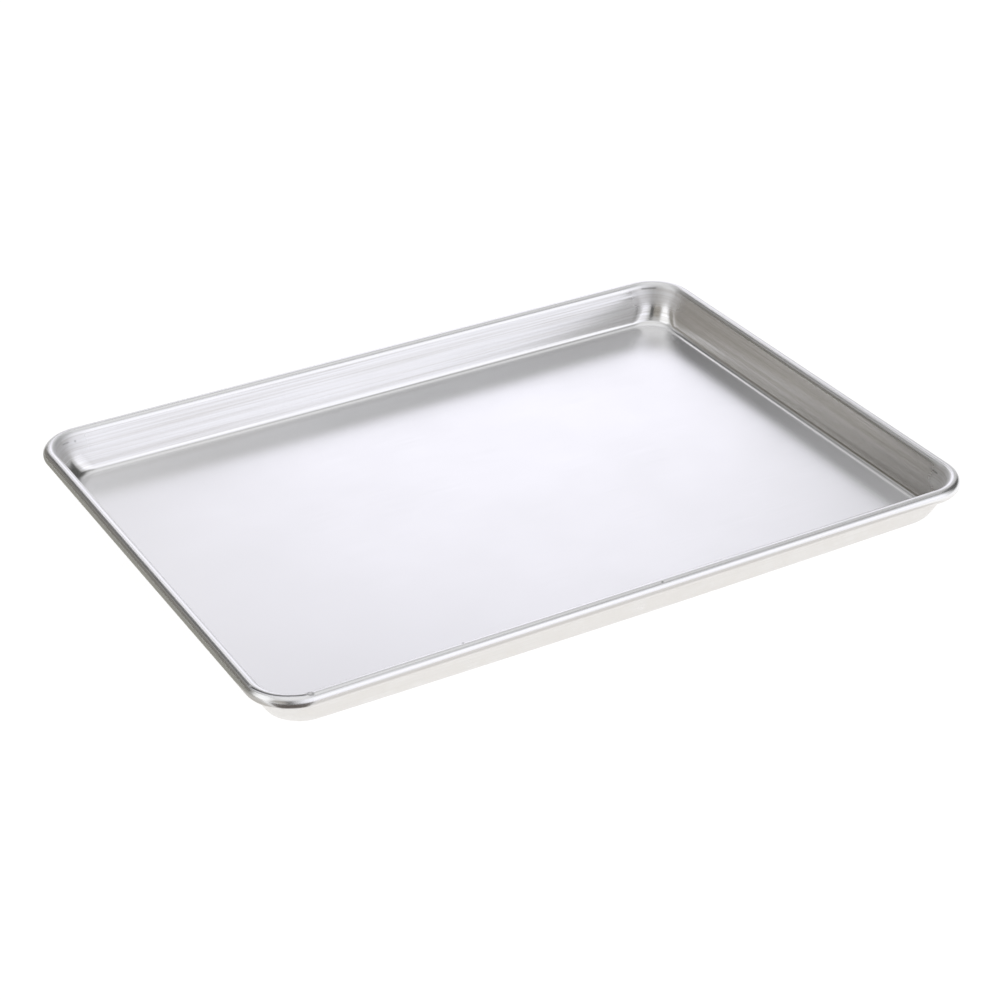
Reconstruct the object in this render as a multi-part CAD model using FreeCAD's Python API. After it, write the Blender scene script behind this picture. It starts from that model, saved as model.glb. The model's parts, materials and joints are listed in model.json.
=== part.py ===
"""Jelly roll pan of half-sheet size: one pressed aluminium sheet whose edge is rolled round a steel wire.

Millimetres. The origin is at the middle of the underside, +X along the length, +Z up.
"""
import FreeCAD, Part
import os
from math import acos, cos, pi, radians, sin

# Overall sizes, over the outside of the rolled rim
pan_length = 451.0
pan_width = 327.0
pan_height = 26.5

# Sheet and pressing
sheet_thickness = 1.02
wall_draft = radians(18.0)
floor_fillet_radius = 4.5
base_corner_radius = 23.0

# Rolled rim and the wire inside it
rim_corner_radius = 23.5
wire_diameter = 5.7
wire_clearance = 0.1
free_edge_gap = 0.3
wire_joint_gap = 1.2
wire_joint_x = 8.0

# Worked out from the sizes above
wire_radius = wire_diameter / 2
bead_inner_radius = wire_radius + wire_clearance
bead_radius = bead_inner_radius + sheet_thickness
wire_height = pan_height - bead_radius
half_wire_length = pan_length / 2 - bead_radius
half_wire_width = pan_width / 2 - bead_radius
up = FreeCAD.Vector(0, 0, 1)
quarter_turn = 90.0


def wall_inset(distance, height):
    """How far inside the wire's centre line, in plan, a wall face lies that passes the wire at a distance."""
    return (distance + (wire_height - height) * sin(wall_draft)) / cos(wall_draft)


def outline(half_length, half_width, corner_radius, height):
    """A rounded rectangle, level, as a closed wire."""
    arcs = []
    for number, (side_x, side_y) in enumerate([(1, 1), (-1, 1), (-1, -1), (1, -1)]):
        middle = FreeCAD.Vector(
            side_x * (half_length - corner_radius), side_y * (half_width - corner_radius), height)
        start_angle = number * quarter_turn
        arcs.append(Part.makeCircle(corner_radius, middle, up, start_angle, start_angle + quarter_turn))
    edges = []
    for arc, next_arc in zip(arcs, arcs[1:] + arcs[:1]):
        side = Part.makeLine(arc.valueAt(arc.LastParameter), next_arc.valueAt(next_arc.FirstParameter))
        edges += [arc, side]
    return Part.Wire(edges)


def wall_stretch(low_edge, top_edge):
    """One stretch of a wall face, from an edge of the base up to the edge above it: flat along a side."""
    if not isinstance(low_edge.Curve, Part.Line):
        return Part.makeRuledSurface(low_edge, top_edge)
    corners = [low_edge.firstVertex(), low_edge.lastVertex(), top_edge.lastVertex(), top_edge.firstVertex()]
    return Part.Face(Part.makePolygon([corner.Point for corner in corners], True))


def wall_block(distance, base_radius, low_height, fillet_radius):
    """Everything inside one face of the wall, up to the wire's height, with the bottom edge rounded.

    The plan radius runs evenly from the base's to the rim's, so the corners lean in more than the sides.
    """
    top_inset = wall_inset(distance, wire_height)
    low_inset = wall_inset(distance, low_height)
    top_radius = rim_corner_radius - top_inset
    low_radius = base_radius + (top_radius - base_radius) * low_height / wire_height
    low = outline(half_wire_length - low_inset, half_wire_width - low_inset, low_radius, low_height)
    top = outline(half_wire_length - top_inset, half_wire_width - top_inset, top_radius, wire_height)
    sides = [wall_stretch(low_edge, top_edge) for low_edge, top_edge in zip(low.Edges, top.Edges)]
    shell = Part.Shell(sides + [Part.Face(low), Part.Face(top)])
    shell.sewShape()
    block = Part.Solid(shell)
    middle_height = (low_height + wire_height) / 2
    bottom_edges = [edge for edge in block.Edges if edge.BoundBox.ZMax < middle_height]
    return block.makeFillet(fillet_radius, bottom_edges)


def pressed_tray():
    """Floor and tapered walls, open at the top, up to the height of the wire."""
    wall_in_plan = sheet_thickness / cos(wall_draft)
    outside = wall_block(bead_inner_radius, base_corner_radius, 0.0, floor_fillet_radius + sheet_thickness)
    inside = wall_block(bead_radius, base_corner_radius - wall_in_plan, sheet_thickness, floor_fillet_radius)
    return outside.cut(inside)


def section_point(outward, height):
    """A point of a rim section, outward from the wire's centre, ready to turn about a corner's axis."""
    return FreeCAD.Vector(rim_corner_radius + outward, 0, height)


def bead_point(radius, angle):
    """A point of the rim section at a radius and an angle round the wire's centre."""
    return section_point(radius * cos(angle), wire_height + radius * sin(angle))


def curl_section():
    """Section of the rolled edge: up from the wall, over the wire, down outside it and back to the wall."""
    start = pi - wall_draft
    free_edge = start + acos((bead_inner_radius - free_edge_gap) / bead_radius) - 2 * pi
    middle = (start + free_edge) / 2
    foot_outside = section_point(-wall_inset(bead_inner_radius, wire_height), wire_height)
    foot_inside = section_point(-wall_inset(bead_radius, wire_height), wire_height)
    outer_start = bead_point(bead_radius, start)
    outer_end = bead_point(bead_radius, free_edge)
    inner_start = bead_point(bead_inner_radius, start)
    inner_end = bead_point(bead_inner_radius, free_edge)
    edges = [
        Part.makeLine(foot_outside, foot_inside),
        Part.makeLine(foot_inside, outer_start),
        Part.Arc(outer_start, bead_point(bead_radius, middle), outer_end).toShape(),
        Part.makeLine(outer_end, inner_end),
        Part.Arc(inner_end, bead_point(bead_inner_radius, middle), inner_start).toShape(),
        Part.makeLine(inner_start, foot_outside),
    ]
    return Part.Face(Part.Wire(edges))


def wire_section():
    """Round section of the wire."""
    centre = section_point(0, wire_height)
    return Part.Face(Part.Wire(Part.makeCircle(wire_radius, centre, FreeCAD.Vector(0, 1, 0))))


def run_round_rim(section, joint=None):
    """Carry a section round the rim: extruded along each side, turned about each corner's axis.

    joint is the place and the gap, along X, where the front side is left open.
    """
    corner_x = half_wire_length - rim_corner_radius
    corner_y = half_wire_width - rim_corner_radius
    signs = [(1, -1), (1, 1), (-1, 1), (-1, -1)]
    axes = [FreeCAD.Vector(sign_x * corner_x, sign_y * corner_y, 0) for sign_x, sign_y in signs]
    front_side = 3
    pieces = []
    for number, (start, end) in enumerate(zip(axes, axes[1:] + axes[:1])):
        along = (end - start).normalize()
        side_length = start.distanceToPoint(end)
        stretches = [(0.0, side_length)]
        if joint and number == front_side:
            place, gap = joint
            to_joint = place - start.x
            stretches = [(0.0, to_joint - gap / 2), (to_joint + gap / 2, side_length)]
        turned = section.copy()
        turned.rotate(FreeCAD.Vector(), up, number * quarter_turn)
        for first, last in stretches:
            stretch = turned.translated(start + along * first)
            pieces.append(stretch.extrude(along * (last - first)))
        pieces.append(turned.translated(end).revolve(end, up, quarter_turn))
    return pieces


def joined(pieces):
    """One solid from pieces that meet face to face."""
    return pieces[0].multiFuse(pieces[1:]).removeSplitter()


def pan_shell():
    """The pressed sheet: tray and rolled edge in one piece."""
    return joined([pressed_tray()] + run_round_rim(curl_section()))


def rim_wire():
    """The steel wire trapped in the rolled edge, its ends butted on the front side."""
    return joined(run_round_rim(wire_section(), (wire_joint_x, wire_joint_gap)))


os.makedirs("parts", exist_ok=True)
for node, shape in (("pan_shell", pan_shell()), ("rim_wire", rim_wire())):
    print(node, len(shape.Solids), "solid,", round(shape.Volume), "mm3, valid:", shape.isValid())
    shape.exportStep("parts/" + node + ".step")
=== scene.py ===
"""Looks of a jelly roll pan: one pressed aluminium sheet whose edge is rolled round a steel wire."""

import json
import math
from collections import namedtuple

import bpy
import numpy as np
from mathutils import Euler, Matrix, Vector


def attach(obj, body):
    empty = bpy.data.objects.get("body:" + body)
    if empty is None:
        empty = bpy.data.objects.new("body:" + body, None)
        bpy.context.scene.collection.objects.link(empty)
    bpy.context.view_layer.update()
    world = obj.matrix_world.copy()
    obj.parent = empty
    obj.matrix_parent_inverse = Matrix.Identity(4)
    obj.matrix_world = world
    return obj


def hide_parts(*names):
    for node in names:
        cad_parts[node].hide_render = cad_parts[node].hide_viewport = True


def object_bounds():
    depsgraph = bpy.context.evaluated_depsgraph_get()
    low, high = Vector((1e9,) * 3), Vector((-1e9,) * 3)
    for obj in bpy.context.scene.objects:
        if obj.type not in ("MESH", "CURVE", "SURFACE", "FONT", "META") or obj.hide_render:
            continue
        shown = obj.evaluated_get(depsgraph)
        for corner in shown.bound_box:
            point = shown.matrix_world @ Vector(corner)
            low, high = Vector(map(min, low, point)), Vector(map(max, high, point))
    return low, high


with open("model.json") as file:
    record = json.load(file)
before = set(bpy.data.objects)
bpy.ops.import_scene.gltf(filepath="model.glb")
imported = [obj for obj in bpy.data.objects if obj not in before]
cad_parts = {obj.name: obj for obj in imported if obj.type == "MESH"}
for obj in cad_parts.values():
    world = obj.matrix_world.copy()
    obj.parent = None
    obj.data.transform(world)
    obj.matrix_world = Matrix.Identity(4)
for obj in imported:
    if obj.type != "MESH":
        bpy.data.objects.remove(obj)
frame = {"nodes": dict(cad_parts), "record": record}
CAD_LOW, CAD_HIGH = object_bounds()

bl_info = {
    "name": "Jelly Roll Pan",
    "version": (1, 0, 0),
    "blender": (4, 5, 0),
    "location": "View3D > Sidebar > Jelly Roll Pan",
    "description": "Builds a wired-rim baking pan in natural aluminium and its white studio",
    "category": "Object",
}

MM = 0.001
SLOT_COLOURS = {row["slot"]: tuple(row["base_color"]) for row in frame["record"]["materials"]}

# One level of the pan's section: how far inside the wire's centre line it lies in plan, its height,
# its plan corner radius, and how much it counts as wall, bead and underside
Level = namedtuple("Level", "inset height corner wall bead under")

# A tuck in the rolled rim: its corner, its path as plan angles in degrees and millimetres outward from the
# bead's top, and its depth, half width and lip in millimetres
Tuck = namedtuple("Tuck", "name corner path depth half_width lip")

# A small round pucker or dent: its corner and place as in a tuck, and its radius, the height of its ring
# and the height of its middle in millimetres
Pucker = namedtuple("Pucker", "name corner plan_angle outward radius ring middle")

# A small nick across the front rim: its place along X and outward from the bead's top, in millimetres
Nick = namedtuple("Nick", "name along outward")

# A noise in the metal's finish: how many features it has in a metre each way, and its detail
Noise = namedtuple("Noise", "features detail")

# One soft-edged patch of the studio: where it is seen from the pan, in degrees, and what it shows
Patch = namedtuple("Patch", "name azimuth half_width side_blur low high height_blur colour")

# A sheet of painted shadow that glows at its tone, lying on the table beside the pan where the pan shades
# it, and seen only in the metal's reflections: its tone and its corners in metres
ShadowCard = namedtuple("ShadowCard", "name tone corners")


class PanSheetSizes(bpy.types.PropertyGroup):
    """Colours and gloss of the two metals, with the painted shade on the pan's outside and in the rim's
    tucks.
    """

    length: bpy.props.FloatProperty(
        name="Length", description="Overall length over the rim", unit="LENGTH",
        default=CAD_HIGH.x - CAD_LOW.x)
    width: bpy.props.FloatProperty(
        name="Width", description="Overall width over the rim", unit="LENGTH",
        default=CAD_HIGH.y - CAD_LOW.y)
    height: bpy.props.FloatProperty(
        name="Height", description="Height from the underside to the top of the rim", unit="LENGTH",
        default=CAD_HIGH.z - CAD_LOW.z)
    thickness: bpy.props.FloatProperty(
        name="Sheet", description="Thickness of the aluminium sheet", unit="LENGTH",
        default=1.02 * MM, precision=5)
    draft: bpy.props.FloatProperty(
        name="Wall draft", description="How far the walls lean outward", subtype="ANGLE",
        default=math.radians(18.0))
    floor_fillet: bpy.props.FloatProperty(
        name="Floor fillet", description="Inside radius between floor and wall", unit="LENGTH",
        default=4.5 * MM, precision=5)
    corner_bow: bpy.props.FloatProperty(
        name="Corner bow", description="How far the corners' walls bow outward", unit="LENGTH",
        default=1.8 * MM, precision=5)
    base_corner: bpy.props.FloatProperty(
        name="Base corner", description="Plan radius of the corners at the underside", unit="LENGTH",
        default=23.0 * MM, precision=5)
    rim_corner: bpy.props.FloatProperty(
        name="Rim corner", description="Plan radius of the wire's centre line at the corners",
        unit="LENGTH", default=23.5 * MM, precision=5)
    wire_diameter: bpy.props.FloatProperty(
        name="Wire", description="Diameter of the steel wire in the rim", unit="LENGTH",
        default=5.7 * MM, precision=5)
    wire_clearance: bpy.props.FloatProperty(
        name="Wire clearance", description="Room between the wire and the rolled sheet", unit="LENGTH",
        default=0.1 * MM, precision=5)
    free_edge_gap: bpy.props.FloatProperty(
        name="Free edge gap", description="Gap between the rolled sheet's edge and the wall",
        unit="LENGTH", default=0.3 * MM, precision=5)
    wall_bow: bpy.props.FloatProperty(
        name="Wall bow", description="How much more the walls lean in the middle of a side",
        subtype="ANGLE", default=math.radians(0.6))
    front_bow: bpy.props.FloatProperty(
        name="Front bow", description="How much less the front wall leans in its middle", subtype="ANGLE",
        default=math.radians(7.5))
    draw_line_depth: bpy.props.FloatProperty(
        name="Draw lines", description="Depth of the lines that drawing leaves along the walls",
        unit="LENGTH", default=0.007 * MM, precision=6)


class PanFinishes(bpy.types.PropertyGroup):
    """Colours and gloss of the two metals."""

    aluminium: bpy.props.FloatVectorProperty(
        name="Aluminium", description="Colour of the bare aluminium sheet", subtype="COLOR",
        default=SLOT_COLOURS["natural_aluminium"], min=0.0, max=1.0)
    streaks: bpy.props.FloatVectorProperty(
        name="Streaks", description="Colour of the darker streaks along the drawn walls", subtype="COLOR",
        default=(0.70, 0.685, 0.665), min=0.0, max=1.0)
    # Partly a duller finish, partly painted shade: the outside is darker and warmer for the shaded table it
    # reflects.
    outside: bpy.props.FloatVectorProperty(
        name="Outside", description="Colour of the duller metal outside and under the pan",
        subtype="COLOR", default=(0.79, 0.77, 0.745), min=0.0, max=1.0)
    # Painted shade: the dark colour put down in the rim's tucks, puckers and nicks, where shade falls.
    fold_shade: bpy.props.FloatVectorProperty(
        name="Folds", description="Colour down in the tucks of the rim", subtype="COLOR",
        default=(0.07, 0.068, 0.07), min=0.0, max=1.0)
    floor_roughness: bpy.props.FloatProperty(
        name="Floor roughness", description="Satin of the rolled sheet on the floor", subtype="FACTOR",
        default=0.24, min=0.0, max=1.0)
    wall_roughness: bpy.props.FloatProperty(
        name="Wall roughness", description="Satin of the drawn walls", subtype="FACTOR",
        default=0.19, min=0.0, max=1.0)
    bead_roughness: bpy.props.FloatProperty(
        name="Bead roughness", description="Gloss of the rolled rim", subtype="FACTOR",
        default=0.27, min=0.0, max=1.0)
    outside_roughness: bpy.props.FloatProperty(
        name="Outside roughness", description="Satin of the outside and the underside", subtype="FACTOR",
        default=0.33, min=0.0, max=1.0)
    crowded_roughness: bpy.props.FloatProperty(
        name="Corner roughness", description="Dullness of the metal crowded high in the corners",
        subtype="FACTOR", default=0.52, min=0.0, max=1.0)
    grain_depth: bpy.props.FloatProperty(
        name="Grain depth", description="Depth of the rolling grain and the fine draw streaks",
        unit="LENGTH", default=0.0025 * MM, precision=6)
    wire: bpy.props.FloatVectorProperty(
        name="Wire", description="Colour of the galvanised wire", subtype="COLOR",
        default=SLOT_COLOURS["galvanised_steel"], min=0.0, max=1.0)
    wire_roughness: bpy.props.FloatProperty(
        name="Wire roughness", description="Gloss of the galvanised wire", subtype="FACTOR",
        default=0.42, min=0.0, max=1.0)


class PanStudio(bpy.types.PropertyGroup):
    """Camera, table and light."""

    camera_distance: bpy.props.FloatProperty(
        name="Camera distance", description="From the camera to the point it looks at", unit="LENGTH",
        default=1.46044)
    camera_pitch: bpy.props.FloatProperty(
        name="Camera pitch", description="How far the camera looks down", subtype="ANGLE",
        default=math.radians(30.29))
    camera_heading: bpy.props.FloatProperty(
        name="Camera heading", description="Direction that the camera looks in, from +X", subtype="ANGLE",
        default=math.radians(59.93))
    camera_roll: bpy.props.FloatProperty(
        name="Camera roll", description="Turn of the camera about its own axis", subtype="ANGLE",
        default=math.radians(-0.184))
    camera_lens: bpy.props.FloatProperty(
        name="Lens", description="Focal length on a 36 mm wide sensor, in millimetres", default=89.61)
    camera_aim: bpy.props.FloatVectorProperty(
        name="Aim", description="Point that the camera looks at", subtype="TRANSLATION",
        default=(0.51 * MM, -2.93 * MM, 0.0))
    table_radius: bpy.props.FloatProperty(
        name="Table radius", description="Radius of the white table", unit="LENGTH", default=25.0)
    shadow_share: bpy.props.FloatProperty(
        name="Shadow", description="Share of the table that takes light and shadow", subtype="FACTOR",
        default=0.30, min=0.0, max=1.0)


# The studio as the pan sees it. Azimuths run from +X to +Y, and the camera stands at about 240 degrees
STUDIO_BASE = (0.60, 0.60, 0.60)
STUDIO_PATCHES = [
    Patch("dim_back", 110.0, 40.0, 20.0, 38.0, 50.0, 8.0, (0.46, 0.46, 0.46)),
    Patch("ceiling", 0.0, 180.0, 1.0, 66.0, 95.0, 14.0, (0.84, 0.84, 0.84)),
    Patch("back_softbox", 60.0, 3.5, 13.0, 14.0, 29.3, 10.0, (1.225, 1.21, 1.305)),
    Patch("back_strip", 79.0, 7.0, 5.0, 35.0, 41.0, 4.0, (1.20, 1.18, 1.20)),
    Patch("front_panel", 291.0, 22.0, 22.0, -8.0, 48.0, 12.0, (0.99, 0.99, 1.04)),
    Patch("front_glow", 302.0, 12.0, 14.0, 16.0, 40.0, 8.0, (1.16, 1.16, 1.20)),
    Patch("dark_flank", 130.0, 32.0, 16.0, -12.0, 26.0, 10.0, (0.18, 0.17, 0.15)),
    Patch("dark_left", 148.0, 9.0, 8.0, -12.0, 28.0, 8.0, (0.09, 0.082, 0.07)),
    Patch("dark_beam", 103.0, 12.0, 4.0, 31.0, 42.0, 4.0, (0.04, 0.04, 0.04)),
    Patch("left_panel", 174.0, 16.0, 8.0, 6.0, 46.0, 8.0, (1.15, 1.15, 1.15)),
    Patch("dim_corner", 332.0, 10.0, 14.0, 46.0, 62.0, 8.0, (0.42, 0.42, 0.42)),
    Patch("dark_right", 3.0, 16.0, 12.0, 10.0, 48.0, 8.0, (0.09, 0.09, 0.085)),
    Patch("dim_front", 214.0, 12.0, 8.0, 14.0, 41.0, 6.0, (0.34, 0.32, 0.285)),
    Patch("front_gap", 224.0, 5.0, 6.0, 10.0, 20.0, 5.0, (0.66, 0.625, 0.575)),
    Patch("camera", 235.0, 5.0, 6.0, 5.0, 44.0, 8.0, (0.06, 0.06, 0.06)),
    Patch("tripod", 240.0, 14.0, 8.0, -6.0, 3.0, 4.0, (0.12, 0.12, 0.12)),
]

# Painted shadow: dark glowing sheets on the table at the left, the front left corner and the front, where
# the pan shades the table, seen only in the metal's reflections.
SHADOW_CARDS = [
    ShadowCard("left_shadow_card", (0.315, 0.31, 0.275),
         [(-0.2275, 1.2), (-2.0, 1.2), (-2.0, -0.10), (-0.2275, -0.10)]),
    ShadowCard("left_end_shadow_card", (0.56, 0.545, 0.52),
         [(-0.2275, -0.10), (-2.0, -0.10), (-2.0, -0.155), (-0.2275, -0.155)]),
    ShadowCard("corner_shadow_card", (0.12, 0.105, 0.095),
         [(-0.2240, -0.1575), (-1.60, -0.52), (-0.70, -1.55), (0.17, -1.59), (-0.2005, -0.1714),
          (-0.2158, -0.1667)]),
    ShadowCard("front_shadow_card", (0.74, 0.715, 0.69),
         [(-0.195, -0.174), (-0.10, -0.5), (0.25, -0.5), (0.215, -0.174)]),
]


def wall_inset(pan, distance, height):
    """How far inside the wire's centre line a wall face lies that passes the wire at a distance."""
    return (distance + (wire_height(pan) - height) * math.sin(pan.draft)) / math.cos(pan.draft)


def bead_inside(pan):
    """Radius of the rolled sheet's face on the wire."""
    return pan.wire_diameter / 2 + pan.wire_clearance


def bead_radius(pan):
    """Radius of the rolled rim."""
    return bead_inside(pan) + pan.thickness


def wire_height(pan):
    """Height of the wire's centre."""
    return pan.height - bead_radius(pan)


def wall_corner(pan, distance, base_corner, height):
    """Plan corner radius of a wall face at a height, from the base's radius to the rim's."""
    inset = wall_inset(pan, distance, height)
    if height > wire_height(pan):
        return pan.rim_corner - inset
    top = pan.rim_corner - wall_inset(pan, distance, wire_height(pan))
    return top + (base_corner - top) * (1 - height / wire_height(pan)) ** 2


def wall_levels(pan, distance, base_corner, low, high, count, under):
    """Levels up one face of the wall."""
    levels = []
    for height in np.linspace(low, high, count):
        inset = wall_inset(pan, distance, height)
        corner = wall_corner(pan, distance, base_corner, height)
        levels.append(Level(inset, height, corner, 1.0, 0.0, under))
    return levels


def fillet_levels(pan, radius, foot_inset, wall_foot, count, under):
    """Levels round the bend between floor and wall, from the floor up to the wall's first level."""
    corner_share = 0.75
    middle = pan.thickness + pan.floor_fillet
    levels = []
    for angle in np.linspace(-math.pi / 2, -pan.draft, count):
        inset = foot_inset - radius * math.cos(angle)
        corner = wall_foot.corner - corner_share * (inset - wall_foot.inset)
        climb = (angle + math.pi / 2) / (math.pi / 2 - pan.draft)
        levels.append(Level(inset, middle + radius * math.sin(angle), corner, climb, 0.0, under))
    return levels


def bead_levels(pan, radius, angles, unders):
    """Levels round the rolled rim, at angles about the wire's centre from straight outward."""
    levels = []
    for angle, under in zip(angles, unders):
        inset = -radius * math.cos(angle)
        height = wire_height(pan) + radius * math.sin(angle)
        levels.append(Level(inset, height, pan.rim_corner - inset, 0.0, 1.0, under))
    return levels


def floor_levels(foot, shares, under):
    """Level rings from the bend's foot inward, with smaller and smaller corners."""
    return [
        Level(foot.inset + share * foot.corner, foot.height, foot.corner * (1 - share), 0.0, 0.0, under)
        for share in shares
    ]


def pan_levels(pan):
    """The sheet's levels: floor, wall, over and round the bead, down the outside and under the floor."""
    bend_rows, plain_wall_rows, marked_wall_rows, outer_wall_rows = 11, 24, 33, 20
    rise_rows, top_rows, fall_rows, back_rows = 12, 57, 27, 16
    marked_height = 8 * MM
    bead = bead_radius(pan)
    inside = bead_inside(pan)
    bend_height = pan.thickness + pan.floor_fillet
    bend_inset = wall_inset(pan, bead + pan.floor_fillet, bend_height)
    outer_bend = pan.floor_fillet + pan.thickness
    start = math.pi - pan.draft
    free_edge = start + math.acos((inside - pan.free_edge_gap) / bead) - 2 * math.pi
    top_start, top_end = math.radians(118), math.radians(34)
    ring_shares = [0.0, 0.04, 0.12, 0.28, 0.5, 0.75]

    inner_base = pan.base_corner - pan.thickness / math.cos(pan.draft)
    inner_low = bend_height - pan.floor_fillet * math.sin(pan.draft)
    inner_high = wire_height(pan) + bead * math.sin(pan.draft)
    marked_low = inner_high - marked_height
    plain_wall = wall_levels(pan, bead, inner_base, inner_low, marked_low, plain_wall_rows, 0.0)
    marked_wall = wall_levels(pan, bead, inner_base, marked_low, inner_high, marked_wall_rows, 0.0)
    inner_wall = plain_wall + marked_wall[1:]
    inner_bend = fillet_levels(pan, pan.floor_fillet, bend_inset, inner_wall[0], bend_rows, 0.0)
    floor_rings = floor_levels(inner_bend[0], ring_shares, 0.0)

    outside_angles = np.concatenate([
        np.linspace(start, top_start, rise_rows)[1:],
        np.linspace(top_start, top_end, top_rows)[1:],
        np.linspace(top_end, free_edge, fall_rows)[1:],
    ])
    turn_under, turned_under = math.radians(15), math.radians(-25)
    outside_unders = np.clip((turn_under - outside_angles) / (turn_under - turned_under), 0, 1)
    bead_outside = bead_levels(pan, bead, outside_angles, outside_unders)
    bead_back = bead_levels(pan, inside, np.linspace(free_edge, start, back_rows), np.ones(back_rows))

    outer_low = bend_height - outer_bend * math.sin(pan.draft)
    outer_high = wire_height(pan) + inside * math.sin(pan.draft)
    outer_wall = wall_levels(pan, inside, pan.base_corner, outer_low, outer_high, outer_wall_rows, 1.0)
    outer_bend_levels = fillet_levels(pan, outer_bend, bend_inset, outer_wall[0], bend_rows, 1.0)
    under_rings = floor_levels(outer_bend_levels[0], ring_shares, 1.0)

    return (floor_rings[:0:-1] + inner_bend[:-1] + inner_wall + bead_outside
            + bead_back + outer_wall[-2::-1] + outer_bend_levels[-2::-1] + under_rings[1:])


# The corners in the order in which a ring meets them, each with the side that follows it
CORNER_SIGNS = [(1, 1), (-1, 1), (-1, -1), (1, -1)]
BACK_RIGHT, BACK_LEFT, FRONT_LEFT, FRONT_RIGHT = range(4)

TUCKS = [
    Tuck("front_left_tuck", FRONT_LEFT, [(184, 2.0), (190, 1.55), (200, 1.05), (212, 0.75), (228, 0.3),
                                         (242, 0.0), (255, 0.25), (262, 0.3)], 0.28, 0.55, 0.10),
    Tuck("back_right_tuck", BACK_RIGHT, [(50, -5.4), (60, -5.7), (75, -5.8), (82, -5.7)], 0.16, 0.42, 0.08),
    Tuck("back_left_tuck", BACK_LEFT, [(108, -7.7), (116, -7.4), (127, -6.9)], 0.11, 0.38, 0.06),
    Tuck("front_right_tuck", FRONT_RIGHT, [(358, -8.3), (366, -8.1), (374, -8.4)], 0.16, 0.42, 0.06),
]
PUCKERS = [
    Pucker("front_left_pucker", FRONT_LEFT, 265, 0.3, 1.3, 0.16, -0.02),
    Pucker("back_right_pucker", BACK_RIGHT, 106, -7.4, 2.4, 0.10, -0.06),
    Pucker("back_right_dent", BACK_RIGHT, 101, -9.4, 1.0, 0.02, -0.12),
    Pucker("back_left_dimple", BACK_LEFT, 158, 1.25, 0.8, 0.02, -0.12),
    Pucker("back_left_pucker", BACK_LEFT, 97, -8.4, 1.1, 0.05, -0.10),
    Pucker("front_right_pucker", FRONT_RIGHT, 378, -7.6, 1.1, 0.06, -0.12),
    Pucker("front_right_dimple", FRONT_RIGHT, 390, -8.6, 0.8, 0.03, -0.10),
]
RIM_NICKS = [Nick("left_nick", -112.0, -0.9), Nick("middle_nick", 9.5, 1.5)]
# Where the mesh is denser beside a nick, in millimetres along the rim
NICK_COLUMNS = (-1.6, -0.9, -0.45, 0.0, 0.45, 0.9, 1.6)

# Steps of the mesh round a corner and along the sides
CORNER_STEPS = 64
LONG_STEPS = 40
SHORT_STEPS = 32

# Share of the corners' bow that comes from their plan radius; a push outward gives the rest
RADIUS_SHARE = 0.5


def straight_side(pan, long_side):
    """Length of a side between its two corners, at the rim."""
    whole = pan.length if long_side else pan.width
    return whole - 2 * bead_radius(pan) - 2 * pan.rim_corner


def side_shares(pan, long_side):
    """Places along a side as shares of it, closest together near the corners and at the rim's nicks."""
    steps = LONG_STEPS if long_side else SHORT_STEPS
    shares = (1 - np.cos(np.linspace(0, math.pi, steps + 1))) / 2
    if long_side:
        side = straight_side(pan, True)
        extra = [
            0.5 + (nick.along + offset) * MM / side
            for nick in RIM_NICKS for offset in NICK_COLUMNS
        ]
        shares = np.unique(np.concatenate([shares, extra]))
    return shares


def shares_after_corner(pan, number):
    """Shares along the side that follows a corner, counted round the ring."""
    shares = side_shares(pan, number % 2 == 0)
    return 1 - shares[::-1] if number < 2 else shares


def ring(pan, level):
    """Points of one level round the pan: each corner's arc, then the side that follows it."""
    half_x = pan.length / 2 - bead_radius(pan) - level.inset
    half_y = pan.width / 2 - bead_radius(pan) - level.inset
    centres = [
        np.array([sign_x * (half_x - level.corner), sign_y * (half_y - level.corner)])
        for sign_x, sign_y in CORNER_SIGNS
    ]
    points = []
    for number, centre in enumerate(centres):
        turn = (number + np.arange(CORNER_STEPS + 1) / CORNER_STEPS) * math.pi / 2
        arc = centre + level.corner * np.column_stack([np.cos(turn), np.sin(turn)])
        out = np.array([math.cos(turn[-1]), math.sin(turn[-1])])
        side_end = centres[(number + 1) % 4] + level.corner * out
        shares = shares_after_corner(pan, number)[:-1, None]
        points += [arc[:-1], arc[-1] + shares * (side_end - arc[-1])]
    flat = np.concatenate(points)
    return np.column_stack([flat, np.full(len(flat), level.height)])


def corner_starts(pan):
    """Distance round the rim at which each corner starts."""
    arc = pan.rim_corner * math.pi / 2
    starts = [0.0]
    for number in range(3):
        starts.append(starts[-1] + arc + straight_side(pan, number % 2 == 0))
    return starts


def rim_length(pan):
    """Length of the wire's centre line all round."""
    return 2 * math.pi * pan.rim_corner + 2 * straight_side(pan, True) + 2 * straight_side(pan, False)


def ring_way(pan):
    """For each place round a ring: the distance along the rim, and how far it counts as a corner."""
    arc = pan.rim_corner * math.pi / 2
    fade = 7 * MM
    ways = []
    corner_shares = []
    for number, start in enumerate(corner_starts(pan)):
        side = straight_side(pan, number % 2 == 0)
        along = shares_after_corner(pan, number)[:-1] * side
        ways += [start + np.arange(CORNER_STEPS) / CORNER_STEPS * arc, start + arc + along]
        to_corner = np.minimum(along, side - along)
        corner_shares += [np.ones(CORNER_STEPS), np.clip(1 - to_corner / fade, 0, 1) ** 2]
    return np.concatenate(ways), np.concatenate(corner_shares)


def plan_way(pan, corner, plan_angle):
    """Distance round the rim of a plan angle at a corner. Past the corner it runs on along the side."""
    return corner_starts(pan)[corner] + pan.rim_corner * math.radians(plan_angle - 90 * corner)


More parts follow.
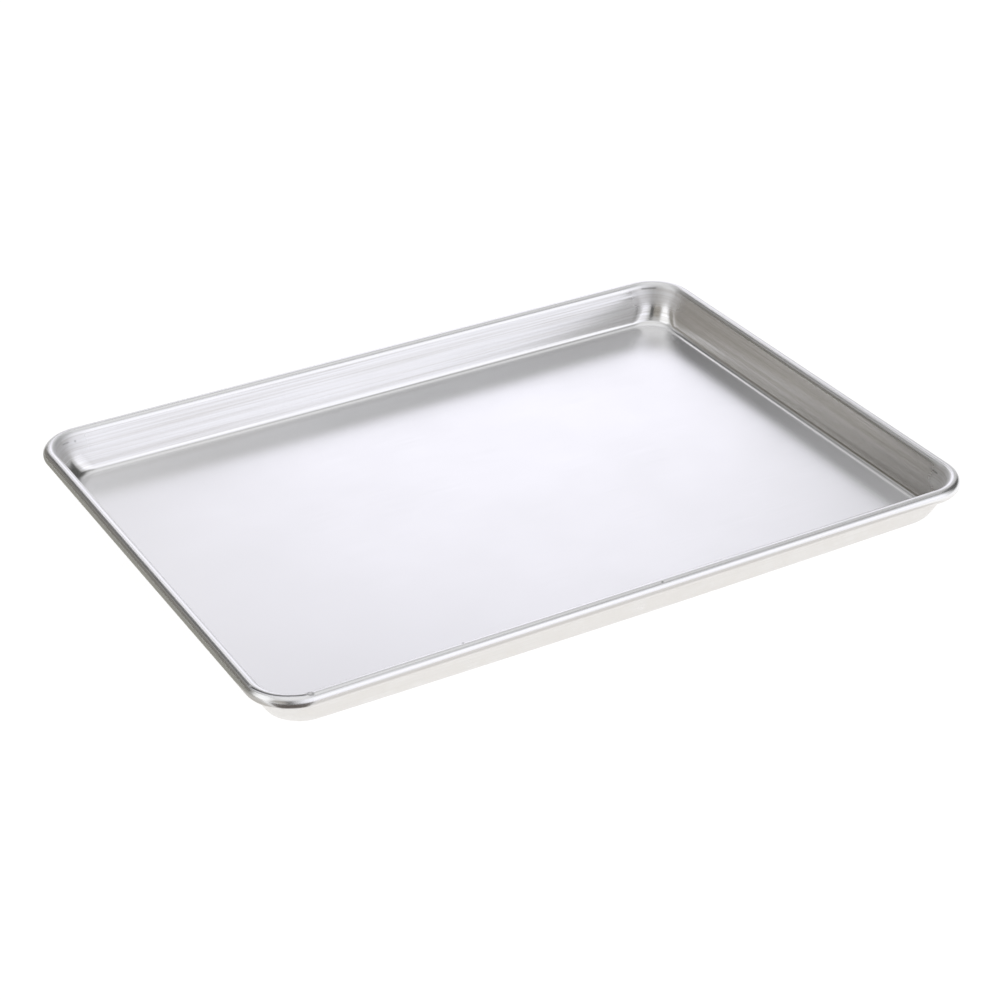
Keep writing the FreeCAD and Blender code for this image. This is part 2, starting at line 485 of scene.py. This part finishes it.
def wall_bow(pan, levels, ways):
    """How far each place of the walls is pushed inward in plan, most at the foot in mid-side."""
    arc = pan.rim_corner * math.pi / 2
    bow = np.zeros(len(ways))
    for number, start in enumerate(corner_starts(pan)):
        side = straight_side(pan, number % 2 == 0)
        share = np.clip((ways - start - arc) / side, 0, 1)
        lean = -math.tan(pan.front_bow) if number == FRONT_LEFT else math.tan(pan.wall_bow)
        arch = 4 * share * (1 - share)
        bow += lean * arch
    drop = np.array([level.wall * max(wire_height(pan) - level.height, 0) for level in levels])
    return drop[:, None] * bow


def wall_climb(pan, levels):
    """How far up the wall each level lies, from 0 at the floor to 1 where the rim starts."""
    top = max(level.height for level in levels if level.wall)
    climbs = []
    for level in levels:
        floor_height = (1 - level.under) * pan.thickness
        climbs.append((level.height - floor_height) / (top - floor_height) if level.wall else 0.0)
    return climbs


def corner_bow(pan, levels):
    """How far the wall of a corner is to bow outward at each level, in the corner's middle."""
    lowness = 1.5
    fullest_climb = 1 / (1 + lowness)
    fullest = fullest_climb * (1 - fullest_climb) ** lowness
    climbs = np.array(wall_climb(pan, levels))
    return pan.corner_bow * climbs * (1 - climbs) ** lowness / fullest


def with_tighter_corners(pan, levels):
    """The levels with plan radii that give the corners' walls the first share of their bow."""
    corner_reach = math.sqrt(2) - 1
    return [
        level._replace(corner=level.corner - RADIUS_SHARE * bow / corner_reach)
        for level, bow in zip(levels, corner_bow(pan, levels))
    ]


def corner_weight(pan, ways, full, gone):
    """1 round the middle of each corner, falling smoothly to 0 from one distance to another."""
    half_arc = pan.rim_corner * math.pi / 4
    weight = np.zeros(len(ways))
    for start in corner_starts(pan):
        away = np.abs(way_apart(pan, ways, start + half_arc))
        share = np.clip((gone - away) / (gone - full), 0, 1)
        weight += share * share * (3 - 2 * share)
    return weight


def corner_bulge(pan, levels, ways):
    """How far each place is pushed inward in plan for the rest of the corners' bow, which is outward."""
    full, gone = 5 * MM, 20 * MM
    outward = (1 - RADIUS_SHARE) * corner_bow(pan, levels)
    return -outward[:, None] * corner_weight(pan, ways, full, gone)


def crowded_metal(pan, levels, ways):
    """How far each place is the duller metal that pressing crowded together high inside the corners."""
    full, gone = 8 * MM, 30 * MM
    dull_climb, full_climb = 0.4, 0.66
    clear_of_top, bead_fade = 1.5 * MM, 1.0 * MM
    climbs = np.array(wall_climb(pan, levels))
    on_wall = np.clip((climbs - dull_climb) / (full_climb - dull_climb), 0, 1)
    bead = np.array([level.bead for level in levels])
    on_bead = np.clip((-bead_outward(levels) - clear_of_top) / bead_fade, 0, 1) * bead
    inside = np.array([1.0 - level.under for level in levels])
    high = np.maximum(on_wall, on_bead) * inside
    return high[:, None] * corner_weight(pan, ways, full, gone)


def inward_in_plan(pan):
    """Level direction into the pan at each place round a ring."""
    turns = []
    for number in range(4):
        side_places = len(shares_after_corner(pan, number)) - 1
        turns += [(number + np.arange(CORNER_STEPS) / CORNER_STEPS) * math.pi / 2,
                  np.full(side_places, (number + 1) * math.pi / 2)]
    turn = np.concatenate(turns)
    return np.column_stack([-np.cos(turn), -np.sin(turn), np.zeros(len(turn))])


def surface_normals(points):
    """Normals of a grid of points that closes round the pan, pointing out of the metal."""
    across = np.gradient(points, axis=0)
    along = np.roll(points, -1, axis=1) - np.roll(points, 1, axis=1)
    normals = np.cross(across, along)
    return normals / np.maximum(np.linalg.norm(normals, axis=2, keepdims=True), 1e-12)


def section_way(levels):
    """Distance along the section, level by level."""
    places = np.array([[level.inset, level.height] for level in levels])
    steps = np.linalg.norm(np.diff(places, axis=0), axis=1)
    return np.concatenate([[0.0], np.cumsum(steps)])


def draw_lines(pan, levels, ways, corner_share):
    """Height of the lines that drawing left along the walls, over every level and place."""
    seed = 7
    wave_lengths = [9.0 * MM, 5.4 * MM, 3.3 * MM, 2.1 * MM]
    drift_counts = (1, 2, 3, 5)
    least_drift, most_drift = 0.2, 0.6
    corner_calm = 0.8
    whole_turn = 2 * math.pi
    draws = np.random.default_rng(seed)
    down = section_way(levels)[:, None]
    relief = np.zeros((len(levels), len(ways)))
    for wave_length in wave_lengths:
        drift = np.zeros(len(ways))
        for count in drift_counts:
            phase = draws.uniform(0, whole_turn)
            swing = draws.uniform(least_drift, most_drift) / count
            drift += swing * np.sin(count * whole_turn * ways / ways[-1] + phase)
        phase = draws.uniform(0, whole_turn)
        relief += wave_length / wave_lengths[0] * np.sin(down / wave_length * whole_turn + drift + phase)
    wall = np.array([level.wall for level in levels])[:, None]
    return pan.draw_line_depth * relief * wall ** 2 * (1 - corner_calm * corner_share)


def bead_outward(levels):
    """Distance along the section from the bead's top, outward, level by level."""
    way = section_way(levels)
    top = max(range(len(levels)), key=lambda row: levels[row].height)
    return way - way[top]


def way_apart(pan, ways, place):
    """Distance along the rim from a place, the short way round."""
    whole = rim_length(pan)
    return (ways - place + whole / 2) % whole - whole / 2


def tuck_marks(pan, tuck, outward, ways):
    """Relief of one tuck, a groove with a lip beside it, and how much painted shade each place takes in its
    fold.
    """
    fade_length = 1.5 * MM
    lip_place, lip_width = 2.2, 1.2
    full_depth = 0.28
    places = [plan_way(pan, tuck.corner, angle) for angle, place in tuck.path]
    start = places[0]
    along = way_apart(pan, ways, start)
    path = np.interp(along, np.array(places) - start, [place * MM for angle, place in tuck.path])
    to_end = np.minimum(along, places[-1] - start - along)
    fade = np.clip(to_end / fade_length, 0, 1)
    across = (outward - path) / (tuck.half_width * MM)
    groove = np.exp(-across ** 2) * fade
    lip = np.exp(-((across - lip_place) / lip_width) ** 2) * fade
    return (tuck.lip * lip - tuck.depth * groove) * MM, groove * min(tuck.depth / full_depth, 1.0)


def pucker_marks(pan, pucker, outward, ways):
    """Relief of one pucker, a ring round a dent, and how much painted shade each place takes in it."""
    dent_width, ring_width = 0.6, 0.4
    full_relief = 0.2
    along = way_apart(pan, ways, plan_way(pan, pucker.corner, pucker.plan_angle))
    reach = np.hypot(along, outward - pucker.outward * MM) / (pucker.radius * MM)
    dent = np.exp(-(reach / dent_width) ** 2)
    wrinkle = np.exp(-((reach - 1) / ring_width) ** 2)
    ring_fold_shade = wrinkle * (pucker.ring / full_relief) ** 3
    dent_fold_shade = dent * min(-pucker.middle / full_relief, 1.0)
    return (pucker.ring * wrinkle + pucker.middle * dent) * MM, np.maximum(ring_fold_shade, dent_fold_shade)


def nick_marks(pan, nick, outward, ways):
    """Relief of one nick in the front rim, and how much painted shade each place takes in it."""
    half_width, depth = 0.5 * MM, 0.1 * MM
    front_start = corner_starts(pan)[FRONT_LEFT] + pan.rim_corner * math.pi / 2
    front_middle = front_start + straight_side(pan, True) / 2
    along = way_apart(pan, ways, front_middle + nick.along * MM) / half_width
    across = (outward - nick.outward * MM) / half_width
    dip = np.exp(-along ** 2 - across ** 2)
    return -depth * dip, dip


def rim_marks(pan, levels, ways):
    """Height of the marks that rolling left on the rim, and how much painted shade each place takes in a
    fold.
    """
    outward = bead_outward(levels)[:, None]
    shown = np.array([1.0 - level.under for level in levels])[:, None]
    marks = [tuck_marks(pan, tuck, outward, ways) for tuck in TUCKS]
    marks += [pucker_marks(pan, pucker, outward, ways) for pucker in PUCKERS]
    marks += [nick_marks(pan, nick, outward, ways) for nick in RIM_NICKS]
    relief = sum(height for height, fold in marks)
    fold_shade = np.maximum.reduce([fold for height, fold in marks])
    return relief * shown, fold_shade * shown


def field_border(indices):
    """The border of a field's indices, in the order in which the ring round it meets them."""
    border = []
    for side in (indices[::-1, -1], indices[0, ::-1], indices[:, 0], indices[-1, :]):
        border += [side[0]] * CORNER_STEPS + list(side[:-1])
    return border


def middle_field(pan, level):
    """Points of the flat field inside the last ring, and their indices as a grid."""
    half_x = pan.length / 2 - bead_radius(pan) - level.inset - level.corner
    half_y = pan.width / 2 - bead_radius(pan) - level.inset - level.corner
    xs = half_x * (2 * side_shares(pan, True) - 1)
    ys = half_y * (2 * side_shares(pan, False) - 1)
    points = np.array([[x, y, level.height] for x in xs for y in ys])
    return points, np.arange(len(points)).reshape(len(xs), len(ys))


def loop_face(indices):
    """A face without the corners that fall together."""
    kept = []
    for index in indices:
        if index not in kept:
            kept.append(int(index))
    return tuple(kept)


def ring_faces(rows, columns):
    """Faces between each ring and the next."""
    faces = []
    for here in range(0, (rows - 1) * columns, columns):
        there = here + columns
        for column in range(columns):
            beside = (column + 1) % columns
            faces.append((here + column, there + column, there + beside, here + beside))
    return faces


def field_faces(indices, ring_start, flip):
    """Faces of a flat field and of the seam to the ring round it, turned over for the underside."""
    faces = []
    for strip, next_strip in zip(indices, indices[1:]):
        for row in range(len(strip) - 1):
            faces.append([strip[row], next_strip[row], next_strip[row + 1], strip[row + 1]])
    border = field_border(indices)
    for place, inner in enumerate(border):
        beside = (place + 1) % len(border)
        faces.append([inner, ring_start + place, ring_start + beside, border[beside]])
    return [loop_face(face[::-1] if flip else face) for face in faces]


def store_places(pan, mesh, levels, ways, fold_shade):
    """Keep on the mesh what kind of metal each place is, how much painted shade it takes in the rim's
    tucks, and where it lies along and up the wall.
    """
    rows, columns = len(levels), len(ways)
    in_rings = rows * columns
    in_fields = len(mesh.vertices) - in_rings
    kinds = {
        "wall_share": np.repeat([level.wall for level in levels], columns),
        "bead_share": np.repeat([level.bead for level in levels], columns),
        "under_share": np.repeat([level.under for level in levels], columns),
        # Where shade is painted into the rim's tucks, puckers and nicks.
        "fold_shade_share": fold_shade.ravel(),
        "crowded_share": crowded_metal(pan, levels, ways).ravel(),
    }
    for name, values in kinds.items():
        fields = np.zeros(in_fields)
        if name == "under_share":
            fields[in_fields // 2:] = 1.0
        attribute = mesh.attributes.new(name, "FLOAT", "POINT")
        attribute.data.foreach_set("value", np.concatenate([values, fields]).astype(np.float32))
    places = np.zeros((len(mesh.vertices), 3), np.float32)
    places[:in_rings, 0] = np.tile(np.abs(ways - rim_length(pan) / 2), rows)
    places[:in_rings, 1] = np.repeat(section_way(levels), columns)
    attribute = mesh.attributes.new("draw_place", "FLOAT_VECTOR", "POINT")
    attribute.data.foreach_set("vector", places.ravel())


def sheet_mesh(pan):
    """The whole sheet as one closed mesh: rings from floor to underside, and a flat field in each end."""
    levels = with_tighter_corners(pan, pan_levels(pan))
    ways, corner_share = ring_way(pan)
    points = np.array([ring(pan, level) for level in levels])
    push = wall_bow(pan, levels, ways) + corner_bulge(pan, levels, ways)
    points += push[:, :, None] * inward_in_plan(pan)
    marks, fold_shade = rim_marks(pan, levels, ways)
    relief = draw_lines(pan, levels, ways, corner_share) + marks
    points += surface_normals(points) * relief[:, :, None]
    rows, columns = points.shape[:2]

    vertices = points.reshape(-1, 3)
    faces = ring_faces(rows, columns)
    for row, flip in ((0, False), (rows - 1, True)):
        field_points, indices = middle_field(pan, levels[row])
        faces += field_faces(indices + len(vertices), row * columns, flip)
        vertices = np.concatenate([vertices, field_points])

    mesh = bpy.data.meshes.new("pan_sheet")
    mesh.from_pydata(vertices.tolist(), [], faces)
    store_places(pan, mesh, levels, ways, fold_shade)
    mesh.validate()
    mesh.polygons.foreach_set("use_smooth", np.ones(len(mesh.polygons), bool))
    mesh.update()
    return mesh


# Where a mix node keeps its two numbers, its two colours and the colour it gives
FIRST_NUMBER, SECOND_NUMBER = 2, 3
FIRST_COLOUR, SECOND_COLOUR = 6, 7
MIXED_COLOUR = 2


def node(tree, kind, place, **settings):
    """A new node with its settings, where socket_N is the constant on its input number N."""
    made = tree.nodes.new(kind)
    made.location = place
    for name, value in settings.items():
        if name.startswith("socket_"):
            made.inputs[int(name.removeprefix("socket_"))].default_value = value
        else:
            setattr(made, name, value)
    return made


def new_material(name):
    """An empty node material with its output and a metal shader."""
    material = bpy.data.materials.new(name)
    material.use_nodes = True
    tree = material.node_tree
    tree.nodes.clear()
    output = tree.nodes.new("ShaderNodeOutputMaterial")
    output.location = (900, 0)
    shader = tree.nodes.new("ShaderNodeBsdfPrincipled")
    shader.location = (600, 0)
    shader.inputs["Metallic"].default_value = 1.0
    tree.links.new(shader.outputs["BSDF"], output.inputs["Surface"])
    return material, tree, shader


def stretched_noise(tree, place_socket, noise, place):
    """A socket with a noise over the places that another socket gives."""
    scaled = node(tree, "ShaderNodeVectorMath", place, operation="MULTIPLY", socket_1=noise.features)
    tree.links.new(place_socket, scaled.inputs[0])
    made = node(tree, "ShaderNodeTexNoise", (place[0] + 200, place[1]))
    made.inputs["Scale"].default_value = 1.0
    made.inputs["Detail"].default_value = noise.detail
    tree.links.new(scaled.outputs["Vector"], made.inputs["Vector"])
    return made.outputs["Fac"]


def ramp(tree, value, start, end, low, high, place):
    """A socket that runs evenly from low to high while a value goes from start to end."""
    made = node(tree, "ShaderNodeMapRange", place,
                socket_1=start, socket_2=end, socket_3=low, socket_4=high)
    tree.links.new(value, made.inputs["Value"])
    return made.outputs["Result"]


def combined(tree, operation, first, second, place):
    """Two sockets put together by an operation, such as a sum or a product."""
    made = node(tree, "ShaderNodeMath", place, operation=operation)
    tree.links.new(first, made.inputs[0])
    tree.links.new(second, made.inputs[1])
    return made.outputs["Value"]


def blended(tree, share, first, second, place):
    """A socket that goes from a first value to a second as the share goes to 1. Either may be a socket."""
    made = node(tree, "ShaderNodeMix", place, data_type="FLOAT")
    tree.links.new(share, made.inputs["Factor"])
    for end, value in ((FIRST_NUMBER, first), (SECOND_NUMBER, second)):
        if isinstance(value, float):
            made.inputs[end].default_value = value
        else:
            tree.links.new(value, made.inputs[end])
    return made.outputs["Result"]


def tinted(tree, share, colour, tint, place):
    """A colour socket that goes from a colour to a tint as the share goes to 1."""
    made = node(tree, "ShaderNodeMix", place, data_type="RGBA")
    tree.links.new(share, made.inputs["Factor"])
    if isinstance(colour, bpy.types.NodeSocket):
        tree.links.new(colour, made.inputs[FIRST_COLOUR])
    else:
        made.inputs[FIRST_COLOUR].default_value = (*colour, 1.0)
    made.inputs[SECOND_COLOUR].default_value = (*tint, 1.0)
    return made.outputs[MIXED_COLOUR]


BROAD_STREAKS = Noise((3.0, 260.0, 1.0), 2.0)
FINE_STREAKS = Noise((9.0, 1100.0, 1.0), 3.0)
ROLLING_GRAIN = Noise((25.0, 900.0, 1.0), 3.0)
HANDLING = Noise((16.0, 16.0, 16.0), 4.0)
SCUFFS = Noise((120.0, 120.0, 120.0), 5.0)


def natural_aluminium(finishes):
    """Bare rolled aluminium: satin floor, streaked walls, a burnished rim and a duller outside, with
    painted shade on the outside and down in the rim's tucks.
    """
    noise_low, noise_high = 0.3, 0.7
    calm_low, calm_high = 0.25, 0.75
    streak_low, streak_high = 0.18, 0.46
    scuff_low, scuff_high = 0.35, 0.65
    least_worn = 0.75
    handling_change, grain_change = 0.015, 0.025
    material, tree, shader = new_material("natural_aluminium")
    links = tree.links
    shares = {}
    share_names = ("wall_share", "bead_share", "under_share", "fold_shade_share", "crowded_share")
    for number, name in enumerate(share_names):
        attribute = node(tree, "ShaderNodeAttribute", (-1800, 400 - 180 * number), attribute_name=name)
        shares[name] = attribute.outputs["Fac"]
    draw_place = node(tree, "ShaderNodeAttribute", (-1800, -500), attribute_name="draw_place")
    along_wall = draw_place.outputs["Vector"]
    in_pan = node(tree, "ShaderNodeTexCoord", (-1800, -700)).outputs["Object"]

    broad_streaks = stretched_noise(tree, along_wall, BROAD_STREAKS, (-1500, -300))
    fine_streaks = stretched_noise(tree, along_wall, FINE_STREAKS, (-1500, -500))
    rolling_grain = stretched_noise(tree, in_pan, ROLLING_GRAIN, (-1500, -700))
    handling = stretched_noise(tree, in_pan, HANDLING, (-1500, -900))
    scuffs = stretched_noise(tree, in_pan, SCUFFS, (-1500, -1100))

    streaks = blended(tree, fine_streaks, 0.0, broad_streaks, (-1100, -300))
    streak_share = ramp(tree, streaks, streak_low, streak_high, 0.0, 1.0, (-900, -300))
    drawn = combined(tree, "MULTIPLY", streak_share, shares["wall_share"], (-700, -300))
    worn = ramp(tree, scuffs, scuff_low, scuff_high, least_worn, 1.0, (-1100, -1100))
    outside = combined(tree, "MULTIPLY", worn, shares["under_share"], (-700, -1100))

    colour = tinted(tree, drawn, finishes.aluminium, finishes.streaks, (-500, 600))
    # Painted shade with scuff wear: the outside and underside darker and warmer, for the shaded table they
    # reflect.
    colour = tinted(tree, outside, colour, finishes.outside, (-300, 600))
    # Painted shade: dark colour down in the rim's tucks, puckers and nicks.
    colour = tinted(tree, shares["fold_shade_share"], colour, finishes.fold_shade, (-100, 600))
    links.new(colour, shader.inputs["Base Color"])

    rough = blended(tree, shares["wall_share"], finishes.floor_roughness, finishes.wall_roughness,
                    (-500, 200))
    rough = blended(tree, shares["bead_share"], rough, finishes.bead_roughness, (-300, 200))
    rough = blended(tree, outside, rough, finishes.outside_roughness, (-100, 200))
    rough = blended(tree, shares["crowded_share"], rough, finishes.crowded_roughness, (0, 200))
    handled = ramp(tree, handling, noise_low, noise_high, -handling_change, handling_change, (-1100, -900))
    worked = combined(tree, "ADD", shares["wall_share"], shares["bead_share"], (-1100, -600))
    calm_grain = ramp(tree, rolling_grain, 0.0, 1.0, calm_low, calm_high, (-1100, -750))
    texture = blended(tree, worked, calm_grain, fine_streaks, (-900, -600))
    grained = ramp(tree, texture, noise_low, noise_high, -grain_change, grain_change, (-700, -600))
    rough = combined(tree, "ADD", rough, handled, (100, 200))
    rough = combined(tree, "ADD", rough, grained, (300, 200))
    links.new(rough, shader.inputs["Roughness"])

    bump = node(tree, "ShaderNodeBump", (300, -300))
    bump.inputs["Distance"].default_value = finishes.grain_depth
    links.new(texture, bump.inputs["Height"])
    links.new(bump.outputs["Normal"], shader.inputs["Normal"])
    return material


def galvanised_wire(finishes):
    """Zinc-coated steel: a soft grey with the coating's faint patches."""
    patches_per_metre = 260.0
    dark_share = 0.82
    material, tree, shader = new_material("galvanised_steel")
    links = tree.links
    place = node(tree, "ShaderNodeTexCoord", (-900, 0))
    patches = node(tree, "ShaderNodeTexVoronoi", (-600, 120))
    patches.inputs["Scale"].default_value = patches_per_metre
    links.new(place.outputs["Object"], patches.inputs["Vector"])
    darker = tuple(dark_share * value for value in finishes.wire)
    colour = tinted(tree, patches.outputs["Color"], finishes.wire, darker, (-300, 120))
    links.new(colour, shader.inputs["Base Color"])
    shader.inputs["Roughness"].default_value = finishes.wire_roughness
    return material


class PAN_OT_press_sheet(bpy.types.Operator):
    """Make the pressed sheet with its rolled rim, in place of the plain shell."""

    bl_idname = "jelly_roll_pan.press_sheet"
    bl_label = "Press Sheet"

    def execute(self, context):
        sheet = bpy.data.objects.new("pan_sheet", sheet_mesh(context.scene.pan_sheet_sizes))
        context.scene.collection.objects.link(sheet)
        sheet.data.materials.append(natural_aluminium(context.scene.pan_finishes))
        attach(sheet, "root")
        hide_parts("pan_shell")
        return {"FINISHED"}


class PAN_OT_finish_wire(bpy.types.Operator):
    """Give the wire in the rim its galvanised finish."""

    bl_idname = "jelly_roll_pan.finish_wire"
    bl_label = "Finish Wire"

    def execute(self, context):
        wire = frame["nodes"]["rim_wire"]
        wire.data.materials.clear()
        wire.data.materials.append(galvanised_wire(context.scene.pan_finishes))
        return {"FINISHED"}


def band(tree, value, low, high, blur, place):
    """A socket that is 1 between low and high and falls smoothly to 0 over the blur on both sides."""
    rise = node(tree, "ShaderNodeMapRange", place, interpolation_type="SMOOTHSTEP",
                socket_1=low - blur, socket_2=low)
    fall = node(tree, "ShaderNodeMapRange", (place[0], place[1] - 260), interpolation_type="SMOOTHSTEP",
                socket_1=high, socket_2=high + blur, socket_3=1.0, socket_4=0.0)
    for step in (rise, fall):
        tree.links.new(value, step.inputs["Value"])
    return combined(tree, "MULTIPLY", rise.outputs["Result"], fall.outputs["Result"],
                    (place[0] + 200, place[1]))


def studio_world():
    """The soft studio round the pan: a grey dome with a paler ceiling, bright panels and dark flags."""
    world = bpy.data.worlds.new("studio")
    world.use_nodes = True
    tree = world.node_tree
    links = tree.links
    tree.nodes.clear()
    output = node(tree, "ShaderNodeOutputWorld", (1400, 0))
    background = node(tree, "ShaderNodeBackground", (1200, 0))
    links.new(background.outputs["Background"], output.inputs["Surface"])
    place = node(tree, "ShaderNodeTexCoord", (-1400, 0))
    parts = node(tree, "ShaderNodeSeparateXYZ", (-1200, -300))
    links.new(place.outputs["Generated"], parts.inputs["Vector"])
    climb = node(tree, "ShaderNodeMath", (-1000, -300), operation="ARCSINE")
    links.new(parts.outputs["Z"], climb.inputs[0])
    colour = STUDIO_BASE
    for number, patch in enumerate(STUDIO_PATCHES):
        drop = -700 * number
        heading = math.radians(patch.azimuth)
        ahead = node(tree, "ShaderNodeVectorMath", (-1000, drop), operation="DOT_PRODUCT")
        ahead.inputs[1].default_value = (math.cos(heading), math.sin(heading), 0.0)
        beside = node(tree, "ShaderNodeVectorMath", (-1000, drop - 160), operation="DOT_PRODUCT")
        beside.inputs[1].default_value = (-math.sin(heading), math.cos(heading), 0.0)
        for product in (ahead, beside):
            links.new(place.outputs["Generated"], product.inputs[0])
        turn = combined(tree, "ARCTAN2", beside.outputs["Value"], ahead.outputs["Value"], (-800, drop))
        wide = math.radians(patch.half_width)
        across = band(tree, turn, -wide, wide, math.radians(patch.side_blur), (-500, drop))
        upward = band(tree, climb.outputs["Value"], math.radians(patch.low), math.radians(patch.high),
                      math.radians(patch.height_blur), (-200, drop))
        share = combined(tree, "MULTIPLY", across, upward, (200, drop))
        colour = tinted(tree, share, colour, patch.colour, (400 + 160 * number, drop))
    links.new(colour, background.inputs["Color"])
    return world


def grey(tone):
    """A neutral colour for a socket."""
    return (tone, tone, tone, 1.0)


def white_table(studio):
    """A white that the camera and the metal see evenly lit, and that still takes the pan's shadow."""
    paper_tone = 0.9
    studio_light = 0.42
    material = bpy.data.materials.new("white_table")
    material.use_nodes = True
    tree = material.node_tree
    links = tree.links
    tree.nodes.clear()
    output = node(tree, "ShaderNodeOutputMaterial", (900, 0))
    paper = node(tree, "ShaderNodeBsdfDiffuse", (0, -300))
    paper.inputs["Color"].default_value = grey(paper_tone)
    shade = node(tree, "ShaderNodeBsdfDiffuse", (0, -100))
    shade.inputs["Color"].default_value = grey(studio.shadow_share)
    glow = node(tree, "ShaderNodeEmission", (0, 100))
    glow.inputs["Strength"].default_value = 1.0 - studio_light * studio.shadow_share
    lit = node(tree, "ShaderNodeAddShader", (300, 0))
    links.new(glow.outputs["Emission"], lit.inputs[0])
    links.new(shade.outputs["BSDF"], lit.inputs[1])
    path = node(tree, "ShaderNodeLightPath", (-600, 400))
    seen = combined(tree, "MAXIMUM", path.outputs["Is Camera Ray"], path.outputs["Is Glossy Ray"],
                    (-300, 400))
    shown = combined(tree, "MAXIMUM", seen, path.outputs["Is Transmission Ray"], (-120, 400))
    mix = node(tree, "ShaderNodeMixShader", (600, 0))
    links.new(shown, mix.inputs["Fac"])
    links.new(paper.outputs["BSDF"], mix.inputs[1])
    links.new(lit.outputs["Shader"], mix.inputs[2])
    links.new(mix.outputs["Shader"], output.inputs["Surface"])
    return material


def studio_table(studio):
    """The round white table, a hair below the pan."""
    sides = 96
    drop = 0.2 * MM
    turn = np.linspace(0, 2 * math.pi, sides, endpoint=False)
    edge = studio.table_radius * np.column_stack([np.cos(turn), np.sin(turn)])
    mesh = bpy.data.meshes.new("table")
    mesh.from_pydata([(x, y, -drop) for x, y in edge.tolist()], [], [tuple(range(sides))])
    table = bpy.data.objects.new("table", mesh)
    mesh.materials.append(white_table(studio))
    return table


def shadow_card_on_table(card):
    """A sheet of painted shadow on the table, glowing at its tone, that the camera doesn't see, but the rim
    and the walls reflect.
    """
    card_height = -0.1 * MM
    mesh = bpy.data.meshes.new(card.name)
    mesh.from_pydata([(x, y, card_height) for x, y in card.corners], [], [tuple(range(len(card.corners)))])
    material = bpy.data.materials.new(card.name)
    material.use_nodes = True
    tree = material.node_tree
    tree.nodes.clear()
    output = node(tree, "ShaderNodeOutputMaterial", (300, 0))
    # The sheet glows at its dark tone: a painted shadow, not a lamp.
    tone = node(tree, "ShaderNodeEmission", (0, 0))
    tone.inputs["Color"].default_value = (*card.tone, 1.0)
    tree.links.new(tone.outputs["Emission"], output.inputs["Surface"])
    mesh.materials.append(material)
    made = bpy.data.objects.new(card.name, mesh)
    made.visible_camera = False
    made.visible_diffuse = False
    made.visible_shadow = False
    return made


def studio_camera(studio):
    """The camera at the photograph's viewing angle."""
    data = bpy.data.cameras.new("camera")
    data.lens = studio.camera_lens
    data.sensor_width = 36.0
    data.clip_end = 100.0
    camera = bpy.data.objects.new("camera", data)
    pitch, heading = studio.camera_pitch, studio.camera_heading
    forward = Vector((
        math.cos(pitch) * math.cos(heading), math.cos(pitch) * math.sin(heading), -math.sin(pitch)))
    camera.location = Vector(studio.camera_aim) - forward * studio.camera_distance
    camera.rotation_mode = "QUATERNION"
    roll = Euler((0.0, 0.0, studio.camera_roll)).to_quaternion()
    camera.rotation_quaternion = forward.to_track_quat("-Z", "Y") @ roll
    return camera


class PAN_OT_set_stage(bpy.types.Operator):
    """Set the white table, the studio's light, the camera and the sheets of painted shadow beside the pan.
    """

    bl_idname = "jelly_roll_pan.set_stage"
    bl_label = "Set Stage"

    def execute(self, context):
        scene = context.scene
        studio = scene.pan_studio
        table = studio_table(studio)
        camera = studio_camera(studio)
        shadow_cards = [shadow_card_on_table(card) for card in SHADOW_CARDS]
        for made in (table, camera, *shadow_cards):
            scene.collection.objects.link(made)
        scene.camera = camera
        scene.world = studio_world()
        scene.view_settings.view_transform = "Standard"
        return {"FINISHED"}


class PAN_PT_sidebar(bpy.types.Panel):
    """Sizes, finishes and studio of the pan, and the steps that build it."""

    bl_idname = "PAN_PT_sidebar"
    bl_label = "Jelly Roll Pan"
    bl_space_type = "VIEW_3D"
    bl_region_type = "UI"
    bl_category = "Jelly Roll Pan"

    def draw(self, context):
        for settings in ("pan_sheet_sizes", "pan_finishes", "pan_studio"):
            group = getattr(context.scene, settings)
            box = self.layout.box()
            for name in group.bl_rna.properties.keys():
                if name not in ("rna_type", "name"):
                    box.prop(group, name)
        for operator in (PAN_OT_press_sheet, PAN_OT_finish_wire, PAN_OT_set_stage):
            self.layout.operator(operator.bl_idname)


CLASSES = (PanSheetSizes, PanFinishes, PanStudio, PAN_OT_press_sheet, PAN_OT_finish_wire,
           PAN_OT_set_stage, PAN_PT_sidebar)


def register():
    for kind in CLASSES:
        bpy.utils.register_class(kind)
    bpy.types.Scene.pan_sheet_sizes = bpy.props.PointerProperty(type=PanSheetSizes)
    bpy.types.Scene.pan_finishes = bpy.props.PointerProperty(type=PanFinishes)
    bpy.types.Scene.pan_studio = bpy.props.PointerProperty(type=PanStudio)


def unregister():
    del bpy.types.Scene.pan_studio
    del bpy.types.Scene.pan_finishes
    del bpy.types.Scene.pan_sheet_sizes
    for kind in reversed(CLASSES):
        bpy.utils.unregister_class(kind)


def main():
    register()
    bpy.ops.jelly_roll_pan.press_sheet()
    bpy.ops.jelly_roll_pan.finish_wire()
    bpy.ops.jelly_roll_pan.set_stage()


if __name__ == "__main__":
    main()
